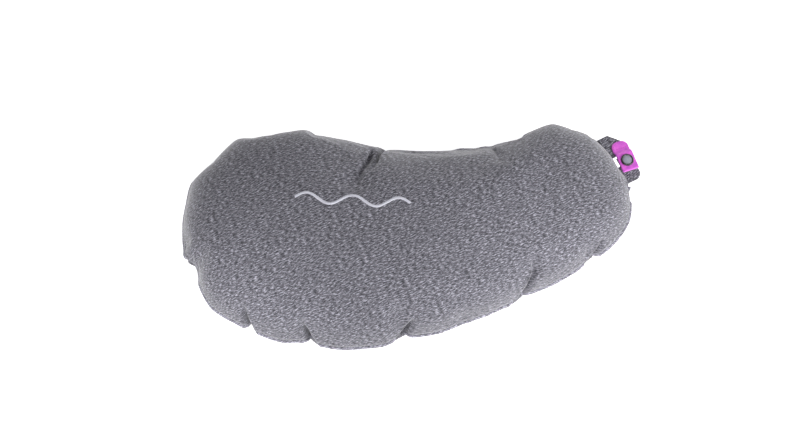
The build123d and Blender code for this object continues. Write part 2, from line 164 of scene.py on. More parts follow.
def to_outline(points):
    """For plan points: inset from the outline, outward normal and place along it (m)."""
    best = np.full(len(points), np.inf)
    normal = np.zeros_like(points)
    along = np.zeros(len(points))
    start = 0.0
    for centre, radius, first, turn, bulge in ARCS:
        ray = points - centre
        distance = np.maximum(np.linalg.norm(ray, axis=1), 1e-9)
        swept = bulge * (np.arctan2(ray[:, 1], ray[:, 0]) - first) % (2 * math.pi)
        inset = bulge * (radius - distance)
        ok = (swept <= abs(turn)) & (inset < best) & (inset < 0.75 * radius)
        whole_lobe = (radius <= LARGE_R) & (swept <= abs(turn)) & (inset < best)
        ok |= whole_lobe
        best[ok] = inset[ok]
        normal[ok] = (ray / distance[:, None])[ok] * bulge
        along[ok] = start + swept[ok] * radius
        start += abs(turn) * radius
    return best, normal, along


# ================================================================ the cut panels
def panel_mesh():
    """The flat panel: points, triangles and how many of the points are on its edge."""
    count = int(outline_length(-CUT_EXTRA) / SEAM_SPACING)
    edge = outline(-CUT_EXTRA, count)
    points = [edge]
    row = SEAM_SPACING * 0.87
    rows = int(FINE_BAND / row)
    for k in range(1, rows + 1):
        points.append(outline(-CUT_EXTRA + k * row, count, phase=0.5 * (k % 2)))
    coarse = SEAM_SPACING * 2.2
    last = -CUT_EXTRA + rows * row + SEAM_SPACING * 1.3
    points.append(outline(last, count // 2))
    low, high = edge.min(0), edge.max(0)
    grid_rows = np.arange(low[1], high[1], coarse * 0.87)
    grid_columns = np.arange(low[0], high[0], coarse)
    grid = np.array([
        (x + coarse / 2 * (j % 2), y) for j, y in enumerate(grid_rows) for x in grid_columns
    ])
    points.append(grid[to_outline(grid)[0] > last + coarse * 0.6])
    flat = [Vector(p) for p in np.vstack(points)]
    edges = [(i, (i + 1) % count) for i in range(count)]
    result = delaunay_2d_cdt(flat, edges, [], 1, 1e-7)
    return np.array([v[:] for v in result[0]]), np.array(result[2]), count


def roll_up(flat):
    """Places flat panel points on the start shape: plan, height and outward 3D normal."""
    inset, normal, _ = to_outline(flat)
    from_seam = np.maximum(inset + CUT_EXTRA, 0)
    turn = np.clip((from_seam - WALL) / ROLL, 0, math.pi / 2)
    plan_inset = np.where(inset >= ROLL, inset, ROLL * (1 - np.cos(turn)))
    height = np.where(from_seam < WALL, from_seam, WALL + ROLL * np.sin(turn))
    plan = flat + normal * (inset - plan_inset)[:, None]
    up = np.column_stack((normal * np.cos(turn)[:, None], np.sin(turn)))
    return np.column_stack((plan, height)), up, from_seam


def ease(x):
    x = np.clip(x, 0, 1)
    return x * x * (3 - 2 * x)


class Crease:
    """One pucker in flat panel coordinates: a groove that runs inwards from the seam."""

    def __init__(self, place, near, far, depth, slant, steep, at_start):
        point = np.array([place]) * MM
        inset, normal, _ = to_outline(point)
        turn = math.radians(slant)
        inwards = -normal[0]
        self.start = point[0] + normal[0] * (inset[0] + CUT_EXTRA)
        self.run = np.array((
            inwards[0] * math.cos(turn) - inwards[1] * math.sin(turn),
            inwards[0] * math.sin(turn) + inwards[1] * math.cos(turn),
        ))
        self.left = np.array((-self.run[1], self.run[0]))
        self.near, self.far = near * MM, far * MM
        self.depth = depth * MM
        self.steep = steep
        self.at_start = at_start

    def measure(self, flat, steep_w, wide_w):
        """Strength along the crease, distance to its steep side, and its groove profile."""
        offset = flat - self.start
        along = (offset @ self.run - self.near) / (self.far - self.near)
        rise = self.at_start + (1 - self.at_start) * ease(along / 0.3)
        strength = rise * np.clip(1 - along, 0, 1) ** 0.8 * (along > -0.3)
        across = offset @ self.left * self.steep
        width = np.where(across > 0, steep_w, wide_w) * (1 - 0.6 * np.clip(along, 0, 1))
        profile = np.clip(1 - np.abs(across) / width, 0, 1)
        return strength, across, profile


CREASES = [Crease(*pucker) for pucker in PUCKERS]


def edge_swell(flat):
    """How far the edge stands out at each flat point, with its changes rounded off."""
    total = outline_length() / MM
    places, swells = zip(*EDGE_SWELL)
    even = np.arange(0, total, 1.0)
    value = np.interp(even, places, swells, period=total)
    reach = np.arange(-12, 13)
    weights = np.exp(-0.5 * (reach / 3.0) ** 2)
    value = np.convolve(np.concatenate((value[-12:], value, value[:12])), weights, "valid")
    along = to_outline(flat)[2] / MM
    return np.interp(along, even, value / weights.sum(), period=total) * MM


def seeded_start(flat):
    """The start shape: the rolled-up panel with its edge swollen and its puckers begun."""
    shape, up, from_seam = roll_up(flat)
    reach = np.clip(1 - from_seam / (70 * MM), 0, 1) ** 1.3
    outwards = np.column_stack((to_outline(flat)[1], np.zeros(len(flat))))
    shape = shape + outwards * (edge_swell(flat) * reach)[:, None]
    for crease in CREASES:
        strength, _, profile = crease.measure(flat, 5 * MM, 14 * MM)
        shape = shape - up * (crease.depth * strength * profile**1.3)[:, None]
    return shape


# ================================================================ inflation
def closed_cushion(panel, triangles, edge_count):
    """Both panels joined along the seam: flat coordinates, index of the lower panel."""
    lower = np.concatenate((
        np.arange(edge_count),
        len(panel) + np.arange(len(panel) - edge_count),
    ))
    faces = np.vstack((triangles, lower[triangles[:, ::-1]]))
    both = np.vstack((panel, panel[edge_count:]))
    side = np.concatenate((np.ones(len(panel)), -np.ones(len(panel) - edge_count)))
    side[:edge_count] = 0
    return both, faces, side


STRETCH_STIFFNESS = 60
SHEAR_STIFFNESS = 30
BENDING_STIFFNESS = 0.05
DAMPING = 2
PRESSURE = 6
FABRIC_MASS = 0.05         # kg at each mesh point


def inflate(start, flat, faces, frames=16, furthest=14 * MM):
    """Cloth simulation with air pressure; the flat panels give the fabric's real lengths."""
    mesh = bpy.data.meshes.new("inflating")
    mesh.from_pydata(start.tolist(), [], faces.tolist())
    cushion = bpy.data.objects.new("inflating", mesh)
    scene = bpy.context.scene
    scene.collection.objects.link(cushion)
    cushion.shape_key_add(name="start")
    cut = cushion.shape_key_add(name="cut")
    cut.data.foreach_set("co", np.column_stack((flat, np.zeros(len(flat)))).ravel())
    cloth = cushion.modifiers.new("air", "CLOTH")
    settings = cloth.settings
    settings.quality = 6
    settings.mass = FABRIC_MASS
    settings.tension_stiffness = STRETCH_STIFFNESS
    settings.compression_stiffness = STRETCH_STIFFNESS
    settings.shear_stiffness = SHEAR_STIFFNESS
    settings.bending_stiffness = BENDING_STIFFNESS
    settings.tension_damping = DAMPING
    settings.compression_damping = DAMPING
    settings.shear_damping = DAMPING
    settings.bending_damping = 0.1
    settings.air_damping = 1
    settings.use_pressure = True
    settings.uniform_pressure_force = PRESSURE
    settings.rest_shape_key = cut
    settings.effector_weights.gravity = 0
    cloth.collision_settings.use_collision = False
    cloth.point_cache.frame_end = frames
    for number in range(1, frames + 1):
        scene.frame_set(number)
    settled = cushion.evaluated_get(bpy.context.evaluated_depsgraph_get()).to_mesh()
    shape = np.empty(len(start) * 3)
    settled.vertices.foreach_get("co", shape)
    bpy.data.objects.remove(cushion)
    moved = shape.reshape(-1, 3) - start
    distance = np.maximum(np.linalg.norm(moved, axis=1, keepdims=True), 1e-9)
    scene.frame_set(1)
    return start + moved * np.minimum(1, furthest / distance)


FLOOR_SOFTNESS = 3 * MM    # how gradually the underside flattens onto the floor


def seat_on_floor(shape, side):
    """Scales each half to its real height and flattens the underside where it rests."""
    shape = shape.copy()
    crown = shape[:, 2].max()
    upper = side >= 0
    shape[upper, 2] = SEAM_Z + shape[upper, 2] * TOP_H / crown
    hang = SEAM_Z + shape[~upper, 2] * TOP_H / crown
    shape[~upper, 2] = FLOOR_SOFTNESS * np.log1p(np.exp(hang / FLOOR_SOFTNESS))
    shape[~upper, 2] -= shape[~upper, 2].min()
    return shape


def subdivide(shape, flat, side, faces):
    """One step of Loop subdivision: each triangle becomes four and the surface is smoothed."""
    count = len(shape)
    edges = np.sort(np.vstack((faces[:, [0, 1]], faces[:, [1, 2]], faces[:, [2, 0]])), axis=1)
    opposite = np.concatenate((faces[:, 2], faces[:, 0], faces[:, 1]))
    unique, index = np.unique(edges, axis=0, return_inverse=True)
    index = index.ravel()
    facing = np.zeros((len(unique), 3))
    np.add.at(facing, index, shape[opposite])
    middle = 0.375 * (shape[unique[:, 0]] + shape[unique[:, 1]]) + 0.125 * facing
    neighbours = np.zeros((count, 3))
    valence = np.zeros(count)
    for a, b in ((0, 1), (1, 0)):
        np.add.at(neighbours, unique[:, a], shape[unique[:, b]])
        np.add.at(valence, unique[:, a], 1)
    beta = np.where(valence == 3, 3 / 16, 3 / (8 * valence))[:, None]
    old = shape * (1 - valence[:, None] * beta) + neighbours * beta
    middle_flat = (flat[unique[:, 0]] + flat[unique[:, 1]]) / 2
    middle_side = np.sign(side[unique[:, 0]] + side[unique[:, 1]])
    corner = faces
    ab, bc, ca = (count + index[k * len(faces):(k + 1) * len(faces)] for k in range(3))
    new_faces = np.vstack((
        np.column_stack((corner[:, 0], ab, ca)),
        np.column_stack((ab, corner[:, 1], bc)),
        np.column_stack((ca, bc, corner[:, 2])),
        np.column_stack((ab, bc, ca)),
    ))
    new_flat = np.vstack((flat, middle_flat))
    new_side = np.concatenate((side, middle_side))
    return np.vstack((old, middle)), new_flat, new_side, new_faces


def vertex_normals(shape, faces):
    a, b, c = (shape[faces[:, k]] for k in range(3))
    face_normal = np.cross(b - a, c - a)
    normals = np.zeros_like(shape)
    for k in range(3):
        np.add.at(normals, faces[:, k], face_normal)
    return normals / np.maximum(np.linalg.norm(normals, axis=1, keepdims=True), 1e-12)


GROOVE_SHARE, LIP_SHARE = 0.6, 0.18    # of a pucker's depth
LOWER_SHARE = 0.5                      # the lower panel's puckers, beside the upper's
LIP_AT, LIP_W = 3.2 * MM, 2.0 * MM
SEAM_TUCK, TUCK_W = 1.2 * MM, 2.2 * MM
SEAM_SWELL, SWELL_AT, SWELL_W = 0.9 * MM, 7 * MM, 4.5 * MM


def bell(distance, width):
    return np.exp(-((distance / width) ** 2))


def sharpen_puckers(shape, flat, side, faces):
    """Cuts each crease crisply, with the fabric's lip folded over its steep side."""
    normals = vertex_normals(shape, faces)
    moved = shape.copy()
    for crease in CREASES:
        strength, across, profile = crease.measure(flat, 2.0 * MM, 9 * MM)
        strength = strength * np.where(side < 0, LOWER_SHARE, 1)
        lip = bell(across - LIP_AT, LIP_W)
        moved -= normals * (GROOVE_SHARE * crease.depth * strength * profile**1.4)[:, None]
        moved += normals * (LIP_SHARE * crease.depth * strength * lip)[:, None]
    # The fabric swells over the weld, which leaves a groove along the seam.
    from_seam = np.maximum(to_outline(flat)[0] + CUT_EXTRA, 0)
    tuck = bell(from_seam, TUCK_W) * SEAM_TUCK
    swell = bell(from_seam - SWELL_AT, SWELL_W) * SEAM_SWELL
    outwards = np.column_stack((to_outline(flat)[1], np.zeros(len(flat))))
    return moved + outwards * (swell - tuck)[:, None]


# ================================================================ valve place
VALVE_TILT = math.radians(30)
LOWER_ROLL = 42 * MM
FITTED_R, FREE_R = 14 * MM, 26 * MM    # the fabric is fitted within the first, free past the second
VALVE_REACH = 25 * MM
VALVE_OUT = np.array((0, math.cos(VALVE_TILT), -math.sin(VALVE_TILT)))
ROLL_CENTRE = np.array((REAR[0], REAR[1] - REAR_R - LOWER_ROLL, SEAM_Z - 2 * MM))
VALVE_AT = ROLL_CENTRE + VALVE_OUT * LOWER_ROLL


def from_valve_axis(shape):
    offset = shape - VALVE_AT
    depth = offset @ VALVE_OUT
    return np.linalg.norm(offset - depth[:, None] * VALVE_OUT, axis=1), depth


def fit_to_valve(shape):
    """Brings the lower panel onto the model's edge roll around the valve's lip."""
    radius, depth = from_valve_axis(shape)
    ray = shape[:, :2] - REAR
    distance = np.linalg.norm(ray, axis=1)
    ring = REAR + ray / distance[:, None] * (REAR_R + LOWER_ROLL)
    centre = np.column_stack((ring, np.full(len(shape), SEAM_Z - 2 * MM)))
    spoke = shape - centre
    on_roll = centre + spoke / np.linalg.norm(spoke, axis=1, keepdims=True) * LOWER_ROLL
    fitted = ease((FREE_R - radius) / (FREE_R - FITTED_R))
    share = (fitted * (np.abs(depth) < VALVE_REACH))[:, None]
    return shape * (1 - share) + on_roll * share


# ================================================================ mesh helpers
def add_mesh(name, points, faces, uv=None, smooth=True):
    mesh = bpy.data.meshes.new(name)
    points = [tuple(map(float, p)) for p in points]
    mesh.from_pydata(points, [], [tuple(map(int, f)) for f in faces])
    if uv is not None:
        layer = mesh.uv_layers.new(name="cut")
        corners = np.empty(len(mesh.loops), dtype=np.int32)
        mesh.loops.foreach_get("vertex_index", corners)
        layer.data.foreach_set("uv", np.asarray(uv, dtype=np.float32)[corners].ravel())
    mesh.polygons.foreach_set("use_smooth", [smooth] * len(mesh.polygons))
    mesh.update()
    piece = bpy.data.objects.new(name, mesh)
    bpy.context.scene.collection.objects.link(piece)
    return piece


# ================================================================ materials
def new_material(name, colour, roughness, **sockets):
    material = bpy.data.materials.new(name)
    material.use_nodes = True
    shader = material.node_tree.nodes["Principled BSDF"]
    shader.inputs["Base Color"].default_value = (*colour, 1)
    shader.inputs["Roughness"].default_value = roughness
    for socket, value in sockets.items():
        shader.inputs[socket.replace("_", " ")].default_value = value
    return material, material.node_tree, shader


def add_node(tree, kind, **values):
    node = tree.nodes.new(kind)
    for key, value in values.items():
        if key in node.inputs:
            node.inputs[key].default_value = value
        else:
            setattr(node, key, value)
    return node


def mapped(tree, scale, rotation=0.0, uv=None):
    """Surface coordinates: the flat cut's in metres, or the object's, turned and scaled."""
    if uv:
        source = add_node(tree, "ShaderNodeUVMap", uv_map=uv).outputs["UV"]
    else:
        source = add_node(tree, "ShaderNodeTexCoord").outputs["Object"]
    turned = add_node(tree, "ShaderNodeMapping", Rotation=(0, 0, rotation))
    scaled = add_node(tree, "ShaderNodeMapping", Scale=scale)
    tree.links.new(source, turned.inputs["Vector"])
    tree.links.new(turned.outputs["Vector"], scaled.inputs["Vector"])
    return scaled.outputs["Vector"]


def noise(tree, vector, scale=1.0, detail=2.0, roughness=0.5):
    node = add_node(tree, "ShaderNodeTexNoise", Scale=scale, Detail=detail, Roughness=roughness)
    tree.links.new(vector, node.inputs["Vector"])
    return node.outputs["Fac"]


def ramp(tree, value, stops):
    node = add_node(tree, "ShaderNodeValToRGB")
    elements = node.color_ramp.elements
    elements[0].position, elements[0].color = stops[0][0], (*stops[0][1], 1)
    elements[1].position, elements[1].color = stops[-1][0], (*stops[-1][1], 1)
    for position, colour in stops[1:-1]:
        elements.new(position).color = (*colour, 1)
    tree.links.new(value, node.inputs["Fac"])
    return node.outputs["Color"]


def mix(tree, factor, a, b, blend="MIX"):
    node = add_node(tree, "ShaderNodeMix", data_type="RGBA", blend_type=blend)
    for socket, value in ((0, factor), (6, a), (7, b)):
        if isinstance(value, bpy.types.NodeSocket):
            tree.links.new(value, node.inputs[socket])
        elif socket == 0:
            node.inputs[0].default_value = value
        else:
            node.inputs[socket].default_value = (*value, 1)
    return node.outputs[2]


def bump(tree, shader, height, strength, distance):
    node = add_node(tree, "ShaderNodeBump", Strength=strength, Distance=distance)
    tree.links.new(height, node.inputs["Height"])
    if shader.inputs["Normal"].links:
        tree.links.new(shader.inputs["Normal"].links[0].from_socket, node.inputs["Normal"])
    tree.links.new(node.outputs["Normal"], shader.inputs["Normal"])


def grey(value, violet=0.06):
    """A linear grey with the fabric's slight violet cast."""
    return (value, value * (1 - violet * 0.35), value * (1 + violet * 2.6))


def jersey(name, tone, streak_turn=15.0):
    """Melange knit: pale and dark yarn in short streaks along the courses."""
    material, tree, shader = new_material(
        name, grey(tone), 0.92, Sheen_Weight=0.5, Sheen_Roughness=0.45, Specular_IOR_Level=0.15
    )
    turn = math.radians(-streak_turn)
    streaks = noise(tree, mapped(tree, (250, 950, 1), turn, "cut"), 1, 3, 0.66)
    fine = noise(tree, mapped(tree, (760, 1700, 1), turn, "cut"), 1, 2, 0.6)
    broad = noise(tree, mapped(tree, (22, 40, 1), turn, "cut"), 1, 3, 0.5)
    yarn = ramp(tree, streaks, [
        (0.36, grey(tone * 0.28)),
        (0.46, grey(tone * 0.74)),
        (0.54, grey(tone * 1.35)),
        (0.66, grey(min(tone * 3.6, 0.85), 0.05)),
    ])
    fibres = ramp(tree, fine, [(0.35, (0.45,) * 3), (0.65, (1.0,) * 3)])
    fading = ramp(tree, broad, [(0.3, (0.86,) * 3), (0.7, (1.0,) * 3)])
    colour = mix(tree, 0.85, yarn, fibres, "MULTIPLY")
    colour = mix(tree, 0.9, colour, fading, "MULTIPLY")
    tree.links.new(colour, shader.inputs["Base Color"])
    loops = add_node(tree, "ShaderNodeTexWave", Scale=1.0, Distortion=2.2, Detail=2.0)
    tree.links.new(mapped(tree, (40, 210, 1), turn, "cut"), loops.inputs["Vector"])
    bump(tree, shader, loops.outputs["Fac"], 0.25, 0.0004)
    bump(tree, shader, fine, 0.45, 0.0004)
    bump(tree, shader, streaks, 0.3, 0.0005)
    return material


def stitched_thread(name, colour):
    material, tree, shader = new_material(name, colour, 0.62, Sheen_Weight=0.25, Sheen_Roughness=0.3)
    vector = mapped(tree, (1, 1, 1))
    twist = noise(tree, vector, 3500, 2)
    dull = tuple(0.72 * c for c in colour)
    tree.links.new(ramp(tree, twist, [(0.35, dull), (0.65, colour)]), shader.inputs["Base Color"])
    bump(tree, shader, twist, 0.4, 0.0002)
    return material


def synthetic_leather(name, colour):
    material, tree, shader = new_material(name, colour, 0.48, Coat_Weight=0.08, Coat_Roughness=0.4)
    vector = mapped(tree, (1, 1, 1))
    patches = noise(tree, vector, 160, 3)
    deep = (colour[0] * 0.72, colour[1] * 0.7, colour[2] * 0.85)
    pale = (min(colour[0] * 1.12, 1), colour[1] * 1.35, min(colour[2] * 1.08, 1))
    tree.links.new(
        ramp(tree, patches, [(0.3, deep), (0.55, colour), (0.75, pale)]),
        shader.inputs["Base Color"],
    )
    grain = add_node(tree, "ShaderNodeTexVoronoi", Scale=1400.0)
    tree.links.new(vector, grain.inputs["Vector"])
    bump(tree, shader, grain.outputs["Distance"], 0.35, 0.0003)
    rough = ramp(tree, noise(tree, vector, 500, 2), [(0.3, (0.40,) * 3), (0.7, (0.58,) * 3)])
    tree.links.new(rough, shader.inputs["Roughness"])
    return material


def film_material():
    material, tree, shader = new_material("film", (0.72, 0.72, 0.68), 0.35, Alpha=1.0)
    cloud = noise(tree, mapped(tree, (1, 1, 1)), 60, 3)
    tree.links.new(
        ramp(tree, cloud, [(0.3, (0.60, 0.60, 0.56)), (0.7, (0.76, 0.76, 0.72))]),
        shader.inputs["Base Color"],
    )
    bump(tree, shader, cloud, 0.1, 0.0005)
    return material


def moulded(name, colour, roughness, texture=2200.0, strength=0.12):
    material, tree, shader = new_material(name, colour, roughness)
    vector = mapped(tree, (1, 1, 1))
    spark = noise(tree, vector, texture, 3)
    wear = noise(tree, vector, 120, 3)
    worn = tuple(min(c * 1.35 + 0.01, 1) for c in colour)
    tree.links.new(ramp(tree, wear, [(0.4, colour), (0.75, worn)]), shader.inputs["Base Color"])
    rough = ramp(tree, wear, [(0.35, (roughness * 0.85,) * 3), (0.7, (roughness * 1.15,) * 3)])
    tree.links.new(rough, shader.inputs["Roughness"])
    bump(tree, shader, spark, strength, 0.0002)
    return material


def enamel_with_painted_rim_shade(name, centre, rim):
    """Glossy enamel with painted shade: pale in the middle of the cap and dark round its rim, for
    the shade in the recess round the dome.
    """
    material, tree, shader = new_material(name, centre, 0.2, Coat_Weight=0.4, Coat_Roughness=0.1)
    place = add_node(tree, "ShaderNodeUVMap", uv_map="cut").outputs["UV"]
    from_centre = add_node(tree, "ShaderNodeVectorMath", operation="LENGTH")
    tree.links.new(place, from_centre.inputs[0])
    between = tuple((a + b) * 0.4 for a, b in zip(centre, rim))
    # painted shade: the ramp darkens the enamel from the pale middle out to the rim, standing in for
    # the recess's shadow
    shade = ramp(tree, from_centre.outputs["Value"], [
        (0.0, centre), (0.60, tuple(c * 0.85 for c in centre)), (0.68, between), (0.76, rim),
        (1.0, rim),
    ])
    wear = noise(tree, mapped(tree, (1, 1, 1)), 700, 3)
    worn = ramp(tree, wear, [(0.35, (0.8,) * 3), (0.65, (1.0,) * 3)])
    tree.links.new(mix(tree, 1.0, shade, worn, "MULTIPLY"), shader.inputs["Base Color"])
    bump(tree, shader, wear, 0.04, 0.0002)
    return material


def plated(name, colour, roughness):
    material, tree, shader = new_material(name, colour, roughness, Metallic=1.0)
    vector = mapped(tree, (300, 300, 2500))
    scratch = noise(tree, vector, 3, 3)
    rough = ramp(tree, scratch, [(0.3, (roughness * 0.7,) * 3), (0.7, (roughness * 1.4,) * 3)])
    tree.links.new(rough, shader.inputs["Roughness"])
    tarnish = tuple(0.8 * c for c in colour)
    tree.links.new(ramp(tree, scratch, [(0.3, tarnish), (0.7, colour)]), shader.inputs["Base Color"])
    return material


MATERIALS = {
    "jersey": jersey("jersey", 0.15),
    "strap_jersey": jersey("strap_jersey", 0.18),
    # painted light: a paler copy of the jersey for the seam flange, standing in for the light it
    # catches
    "flange_jersey_painted_light": jersey("flange_jersey_painted_light", 0.34),
    "film": film_material(),
    "pale_thread": stitched_thread("pale_thread", (0.62, 0.62, 0.70)),
    "dark_thread": stitched_thread("dark_thread", (0.05, 0.048, 0.06)),
    "magenta_thread": stitched_thread("magenta_thread", (0.50, 0.08, 0.46)),
    "magenta_synthetic_leather": synthetic_leather("magenta_synthetic_leather", (0.74, 0.13, 0.69)),
    # the cap's dark rim is painted shade for the recess round its dome
    "gunmetal_enamel": enamel_with_painted_rim_shade("gunmetal_enamel", (0.36, 0.37, 0.45), (0.02, 0.018, 0.024)),
    "nickel": plated("nickel", (0.66, 0.64, 0.60), 0.28),
    "spring_steel": plated("spring_steel", (0.55, 0.55, 0.56), 0.35),
    "grey_valve_plastic": moulded("grey_valve_plastic", (0.032, 0.032, 0.036), 0.45),
    "valve_rubber": moulded("valve_rubber", (0.075, 0.075, 0.08), 0.6, 1500, 0.1),
}
SLOT_OF = {s["node"]: s["material_slot"] for s in frame["record"]["subparts"]}


def dress(piece, slot, body, *nodes):
    """Gives a new piece its material, its body and the CAD nodes that it stands for."""
    piece.data.materials.clear()
    piece.data.materials.append(MATERIALS[slot])
    if body:
        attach(piece, body)
    if nodes:
        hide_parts(*nodes)


# ================================================================ cushion
def make_cushion():
    panel, triangles, edge_count = panel_mesh()
    flat, faces, side = closed_cushion(panel, triangles, edge_count)
    start = seeded_start(flat)
    start[:, 2] *= np.where(side < 0, -1, 1)
    start[:edge_count, 2] = 0
    shape = inflate(start, flat, faces)
    shape = seat_on_floor(shape, side)
    film = (shape, flat, side, faces)
    shape, flat, side, faces = subdivide(shape, flat, side, faces)
    shape = sharpen_puckers(shape, flat, side, faces)
    shape = fit_to_valve(shape)
    seam = np.flatnonzero(side == 0)
    return shape, flat, side, faces, seam, film


def without_valve_hole(shape, faces, hole_r):
    radius, depth = from_valve_axis(shape)
    inside = (radius < hole_r) & (np.abs(depth) < 15 * MM)
    return faces[~inside[faces].all(axis=1)]


def make_jersey(shape, flat, faces):
    open_faces = without_valve_hole(shape, faces, 9.8 * MM)
    piece = add_mesh("jersey_panels", shape, open_faces, uv=flat)
    dress(piece, "jersey", "cushion", "top_cover", "bottom_cover")
    return piece


def make_film(film):
    """The airtight films, just inside the jersey."""
    shape, flat, side, faces = film
    shape = fit_to_valve(shape) - vertex_normals(shape, faces) * 2.4 * MM
    for crease in CREASES:
        strength, _, profile = crease.measure(flat, 6 * MM, 12 * MM)
        normals = vertex_normals(shape, faces)
        shape = shape - normals * (0.5 * crease.depth * strength * profile)[:, None]
    open_faces = without_valve_hole(shape, faces, 9.0 * MM)
    piece = add_mesh("airtight_film", shape, open_faces)
    dress(piece, "film", "cushion", "top_film", "bottom_film")


def seam_ring(shape, flat, seam):
    """The seam's points in order around the cushion, with the outline's outward normals."""
    _, normal, along = to_outline(flat[seam])
    order = np.argsort(along)
    return shape[seam][order], normal[order], flat[seam][order]


LOOP_TURN = math.radians(20)
LOOP_OUT = np.array((math.cos(LOOP_TURN), math.sin(LOOP_TURN)))
LOOP_ALONG = np.array((-LOOP_OUT[1], LOOP_OUT[0]))
FLANGE_TRIM_N = 74.3 * MM


def make_flange(shape, flat, seam):
    """The welded strip outside the seam: two bonded layers with a softly rounded rim."""
    ring, normal, ring_flat = seam_ring(shape, flat, seam)
    count = len(ring)
    section = [
        (-3.5, 0.5), (-1.2, 0.45), (0.4, 0.7), (1.6, 0.95), (2.9, 0.9), (3.4, 0.45),
        (3.5, 0.0), (3.4, -0.45), (2.9, -0.85), (1.2, -0.95), (-3.5, -0.8),
    ]
    waves = 0.35 * MM * np.sin(np.arange(count) * 0.31) + 0.25 * MM * np.sin(np.arange(count) * 0.83)
    points = []
    uvs = []
    for out, up in section:
        outwards = np.full(count, out * MM)
        plan = ring[:, :2] + normal * outwards[:, None]
        offset = plan - SMALL
        n = offset @ LOOP_OUT
        t = offset @ LOOP_ALONG
        trimmed = (n > FLANGE_TRIM_N) & (t > -27 * MM) & (t < 34 * MM)
        plan[trimmed] -= LOOP_OUT * (n[trimmed] - FLANGE_TRIM_N)[:, None]
        height = ring[:, 2] + up * MM + waves * max(out, 0) / 3.5
        points.append(np.column_stack((plan, height)))
        uvs.append(ring_flat + normal * outwards[:, None])
    points = np.vstack(points)
    faces = []
    for i in range(len(section) - 1):
        for k in range(count):
            a, b = i * count + k, i * count + (k + 1) % count
            faces.append((a, b, b + count, a + count))
    piece = add_mesh("seam_flange", points, faces, uv=np.vstack(uvs))
    dress(piece, "jersey", "cushion")
    # Painted light: the flange gets a paler copy of the jersey, standing in for the light that the
    # strip catches.
    piece.data.materials[0] = MATERIALS["flange_jersey_painted_light"]


# ================================================================ embroidery
def make_wave(shape, faces):
    """A satin-stitched wave: threads laid side by side across a line on the crown."""
    surface = BVHTree.FromPolygons([Vector(p) for p in shape], [tuple(map(int, f)) for f in faces])
    centre = np.array((-49.0, 13.5)) * MM
    turn = math.radians(-11)
    length, amplitude, cycles, width = 112 * MM, 5 * MM, 2.5, 3.0 * MM
    stitches = 300
    across_steps = 7
    per_stitch = 4
    rows = stitches * per_stitch + 1
    share = np.linspace(0, 1, rows)
    line = np.column_stack((
        (share - 0.5) * length,
        amplitude * np.sin(2 * math.pi * cycles * share),
    ))
    heading = np.gradient(line, axis=0)
    heading /= np.linalg.norm(heading, axis=1, keepdims=True)
    sideways = np.column_stack((-heading[:, 1], heading[:, 0]))
    spin = np.array(((math.cos(turn), -math.sin(turn)), (math.sin(turn), math.cos(turn))))
    points = []
    seed = np.random.default_rng(5)
    ragged = np.repeat(seed.normal(0, 0.08, stitches + 1), per_stitch)[:rows]
    for row in range(rows):
        ridge = abs(math.sin(math.pi * row / per_stitch))
        for k in range(across_steps):
            u = 2 * k / (across_steps - 1) - 1
            half = width / 2 * (1 + ragged[row])
            lean = heading[row] * u * 0.5 * MM
            plan = spin @ (line[row] + sideways[row] * u * half + lean) + centre
            top = Vector((plan[0], plan[1], 0.2))
            hit, normal, _, _ = surface.ray_cast(top, Vector((0, 0, -1)))
            dome = math.sqrt(max(0.0, 1 - u * u))
            lift = (-0.25 + 0.85 * dome + 0.14 * ridge * (dome + 0.3)) * MM
            points.append(hit + Vector((0, 0, 1)) * lift)
    faces = []
    for row in range(rows - 1):
        for k in range(across_steps - 1):
            a = row * across_steps + k
            faces.append((a, a + across_steps, a + across_steps + 1, a + 1))
    piece = add_mesh("embroidery", points, faces)
    dress(piece, "pale_thread", "cushion", "embroidered_wave")


# ================================================================ strap, tab and snap
def loop_point(n, t, z):
    """A point from the loop's own coordinates: outwards, along the seam and up, in mm."""
    plan = SMALL + LOOP_OUT * n * MM + LOOP_ALONG * t * MM
    return np.array((plan[0], plan[1], z * MM))


STRAP_Z, STRAP_T = 45.4, 1.6
TAB_T = 1.4
TAB_SKEW = math.radians(8.4)       # the tab is turned clockwise on the strap, about the snap
SNAP_N, SNAP_T = 86.25, -3.0
FACE_Z = STRAP_Z + STRAP_T
CAP_Z = 52.3
CAP_R = 6.5


def tab_point(n, t, z):
    """A point from the tab's own coordinates: the loop's, turned about the snap."""
    across, along = n - SNAP_N, t - SNAP_T
    return loop_point(
        SNAP_N + across * math.cos(TAB_SKEW) + along * math.sin(TAB_SKEW),
        SNAP_T - across * math.sin(TAB_SKEW) + along * math.cos(TAB_SKEW),
        z,
    )


def rounded(outline_points, radii, steps=6):
    """The outline with each corner rounded by its radius, in mm."""
    result = []
    count = len(outline_points)
    for i in range(count):
        before, here, after = (np.array(outline_points[(i + k) % count], float) for k in (-1, 0, 1))
        radius = radii[i]
        if radius == 0:
            result.append(here)
            continue
        a, b = unit(before - here), unit(after - here)
        half = math.acos(np.clip(a @ b, -1, 1)) / 2
        reach = radius / math.tan(half)
        centre = here + unit(a + b) * radius / math.sin(half)
        first, last = here + a * reach - centre, here + b * reach - centre
        for k in range(steps + 1):
            ray = first * (1 - k / steps) + last * k / steps
            result.append(centre + unit(ray) * radius)
    return np.array(result)


def edge_distance(points, ring):
    """Distance of each point to a closed outline."""
    best = np.full(len(points), np.inf)
    for a, b in zip(ring, np.roll(ring, -1, axis=0)):
        edge = b - a
        along = np.clip((points - a) @ edge / (edge @ edge), 0, 1)
        best = np.minimum(best, np.linalg.norm(points - a - along[:, None] * edge, axis=1))
    return best


def inside_outline(points, ring):
    result = np.zeros(len(points), bool)
    for a, b in zip(ring, np.roll(ring, -1, axis=0)):
        crosses = (a[1] > points[:, 1]) != (b[1] > points[:, 1])
        x = a[0] + (points[:, 1] - a[1]) * (b[0] - a[0]) / (b[1] - a[1] + 1e-12)
        result ^= crosses & (points[:, 0] < x)
    return result


